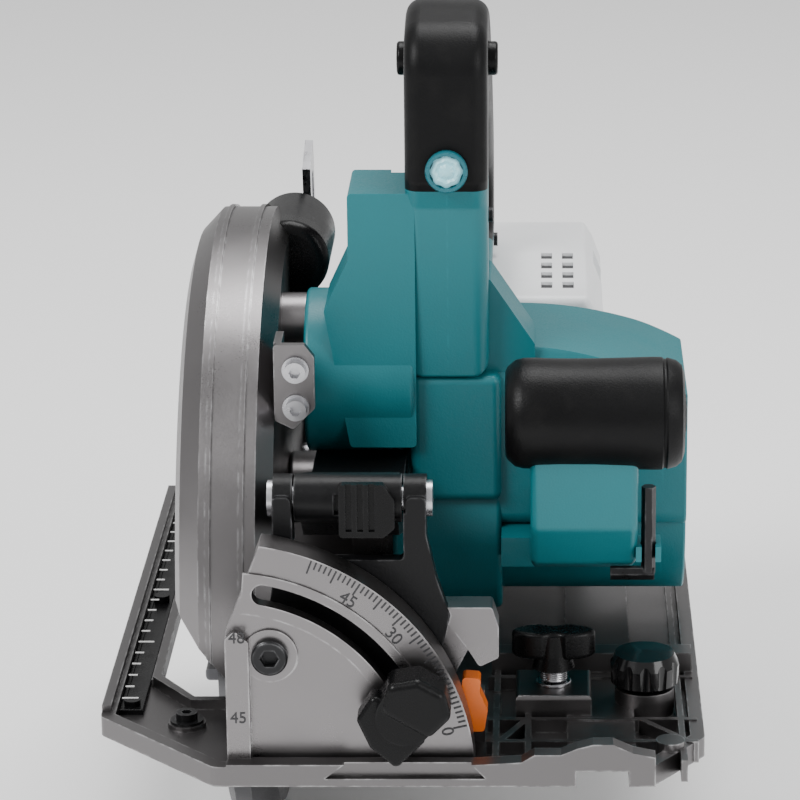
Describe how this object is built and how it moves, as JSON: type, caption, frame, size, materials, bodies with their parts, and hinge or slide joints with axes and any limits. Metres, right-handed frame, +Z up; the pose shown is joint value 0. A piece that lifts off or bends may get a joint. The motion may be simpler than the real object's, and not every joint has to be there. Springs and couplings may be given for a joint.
{
  "type": "circular saw",
  "caption": "Cordless circular saw with a tilting, depth-adjustable body over a slotted sole for a guide rail, a sprung lower blade guard, a loop handle and a front grip.",
  "frame": {"origin": "middle of the sole, on the sole plane", "axes": "+Z up, front of the saw towards -Y, blade side towards -X, motor side towards +X"},
  "size_m": [0.19, 0.303, 0.2895],
  "materials": {
    "cast_silver": "satin cast",
    "base_grey": "satin cast",
    "sector_silver": "satin cast",
    "steel": "ground",
    "dark_steel": "black oxide",
    "guard_steel": "dark zinc",
    "blade_steel": "ground",
    "carbide": "ground",
    "black_paint": "satin",
    "teal_plastic": "fine texture",
    "black_rubber": "soft",
    "black_plastic": "satin",
    "orange_plastic": "satin",
    "lens": "clear",
    "battery_plastic": "satin",
    "copper": "enamelled wire",
    "board": "coated",
    "laminations": "stacked sheet"
  },
  "bodies": {
    "base": {"base_plate": "base_grey", "bevel_sector": "sector_silver", "base_screws": "dark_steel", "edge_scale": "black_plastic", "rear_sector": "sector_silver", "wing_spring": "steel"},
    "stop_dial": {"stop_dial": "dark_steel"},
    "shift_lever": {"shift_lever": "orange_plastic"},
    "wing_screw": {"wing_screw": "black_plastic"},
    "rail_knob": {"rail_knob": "black_plastic"},
    "bracket": {"bevel_bracket": "black_paint", "bevel_pointer": "cast_silver", "hinge_pin": "steel", "depth_guide": "steel", "rear_bracket": "cast_silver", "rear_bolt": "steel"},
    "bevel_clamp": {"bevel_clamp_lever": "black_plastic"},
    "saw": {"blade_case": "cast_silver", "dust_nozzle": "black_plastic", "case_bracket": "cast_silver", "case_screws": "steel", "pivot_arm": "black_paint", "gear_housing": "cast_silver", "gear_cover": "cast_silver", "spindle_bearings": "steel", "motor_bearings": "steel", "motor_housing": "teal_plastic", "motor_end_cap": "teal_plastic", "stator": "laminations", "stator_coils": "copper", "handle_left": "teal_plastic", "handle_right": "teal_plastic", "handle_grip": "black_rubber", "led_lens": "lens", "switch_unit": "black_plastic", "control_board": "board", "housing_screws": "dark_steel", "grip_post": "teal_plastic", "front_grip": "black_rubber", "battery_mount": "black_plastic", "depth_bolt": "steel", "guard_spring": "steel"},
    "trigger": {"trigger": "black_plastic"},
    "lock_off": {"lock_off": "black_plastic"},
    "shaft_lock": {"shaft_lock_slide": "black_plastic"},
    "hex_key": {"hex_key": "dark_steel"},
    "battery": {"battery": "battery_plastic"},
    "battery_button": {"battery_button": "battery_plastic"},
    "depth_clamp": {"depth_lever": "black_plastic"},
    "blade": {"saw_blade": "blade_steel", "blade_tips": "carbide", "inner_flange": "steel", "outer_flange": "steel", "blade_bolt": "dark_steel", "spindle": "steel", "spindle_gear": "steel"},
    "rotor": {"rotor_shaft": "steel", "rotor_core": "laminations", "fan": "black_plastic"},
    "guard": {"lower_guard": "guard_steel"}
  },
  "joints": [
    {"name": "bevel_tilt", "type": "hinge", "parent": "base", "child": "bracket", "pos_m": [-0.052, 0, 0], "axis": [0, -1, 0], "range_deg": [-1, 48]},
    {"name": "depth_swing", "type": "hinge", "parent": "bracket", "child": "saw", "pos_m": [0, -0.112, 0.083], "axis": [1, 0, 0], "range_deg": [0, 28]},
    {"name": "blade_spin", "type": "hinge", "parent": "saw", "child": "blade", "pos_m": [0, 0.018, 0.0265], "axis": [1, 0, 0], "continuous": true},
    {"name": "rotor_spin", "type": "hinge", "parent": "saw", "child": "rotor", "pos_m": [0, 0.00324, 0.04479], "axis": [1, 0, 0], "continuous": true},
    {"name": "guard_swing", "type": "hinge", "parent": "saw", "child": "guard", "pos_m": [0, 0.018, 0.0265], "axis": [1, 0, 0], "range_deg": [0, 105], "stiffness_Nm_per_rad": 0.25, "springref_deg": -51.57},
    {"name": "trigger_pull", "type": "hinge", "parent": "saw", "child": "trigger", "pos_m": [0.014, -0.009, 0.19], "axis": [1, 0, 0], "range_deg": [0, 9], "stiffness_Nm_per_rad": 0.5, "springref_deg": -8.59},
    {"name": "lock_off_push", "type": "slide", "parent": "saw", "child": "lock_off", "axis": [1, 0, 0], "range_m": [-0.0025, 0.0025], "stiffness_N_per_m": 600},
    {"name": "shaft_lock_push", "type": "slide", "parent": "saw", "child": "shaft_lock", "axis": [-1, 0, 0], "range_m": [0, 0.004], "stiffness_N_per_m": 500, "springref_m": -0.002},
    {"name": "depth_clamp_turn", "type": "hinge", "parent": "saw", "child": "depth_clamp", "pos_m": [0, 0.08601, 0.02994], "axis": [1, 0, 0], "range_deg": [0, 45]},
    {"name": "bevel_clamp_turn", "type": "hinge", "parent": "bracket", "child": "bevel_clamp", "pos_m": [0.00306, -0.14, 0.02567], "axis": [0, -1, 0], "range_deg": [0, 60]},
    {"name": "stop_dial_turn", "type": "hinge", "parent": "base", "child": "stop_dial", "pos_m": [-0.0385, -0.13, 0.04], "axis": [0, -1, 0], "range_deg": [0, 180]},
    {"name": "shift_lever_turn", "type": "hinge", "parent": "base", "child": "shift_lever", "pos_m": [0.023, -0.11, 0.013], "axis": [0, 1, 0], "range_deg": [0, 15]},
    {"name": "fence_screw_turn", "type": "hinge", "parent": "base", "child": "wing_screw", "pos_m": [0.048, -0.088, 0.02], "axis": [0, 0, 1], "range_deg": [0, 180]},
    {"name": "rail_knob_turn", "type": "hinge", "parent": "base", "child": "rail_knob", "pos_m": [0.077, -0.086, 0.01], "axis": [0, 0, 1], "range_deg": [-90, 90]},
    {"name": "battery_slide", "type": "slide", "parent": "saw", "child": "battery", "axis": [0, 1, 0], "range_m": [0, 0.1]},
    {"name": "battery_release", "type": "slide", "parent": "battery", "child": "battery_button", "axis": [0, -1, 0], "range_m": [0, 0.003], "stiffness_N_per_m": 500, "springref_m": -0.002},
    {"name": "hex_key_slide", "type": "slide", "parent": "saw", "child": "hex_key", "axis": [0, -1, 0], "range_m": [0, 0.03]}
  ],
  "couplings": [
    {"joint": "rotor_spin", "follows": "blade_spin", "ratio": -3.7}
  ]
}
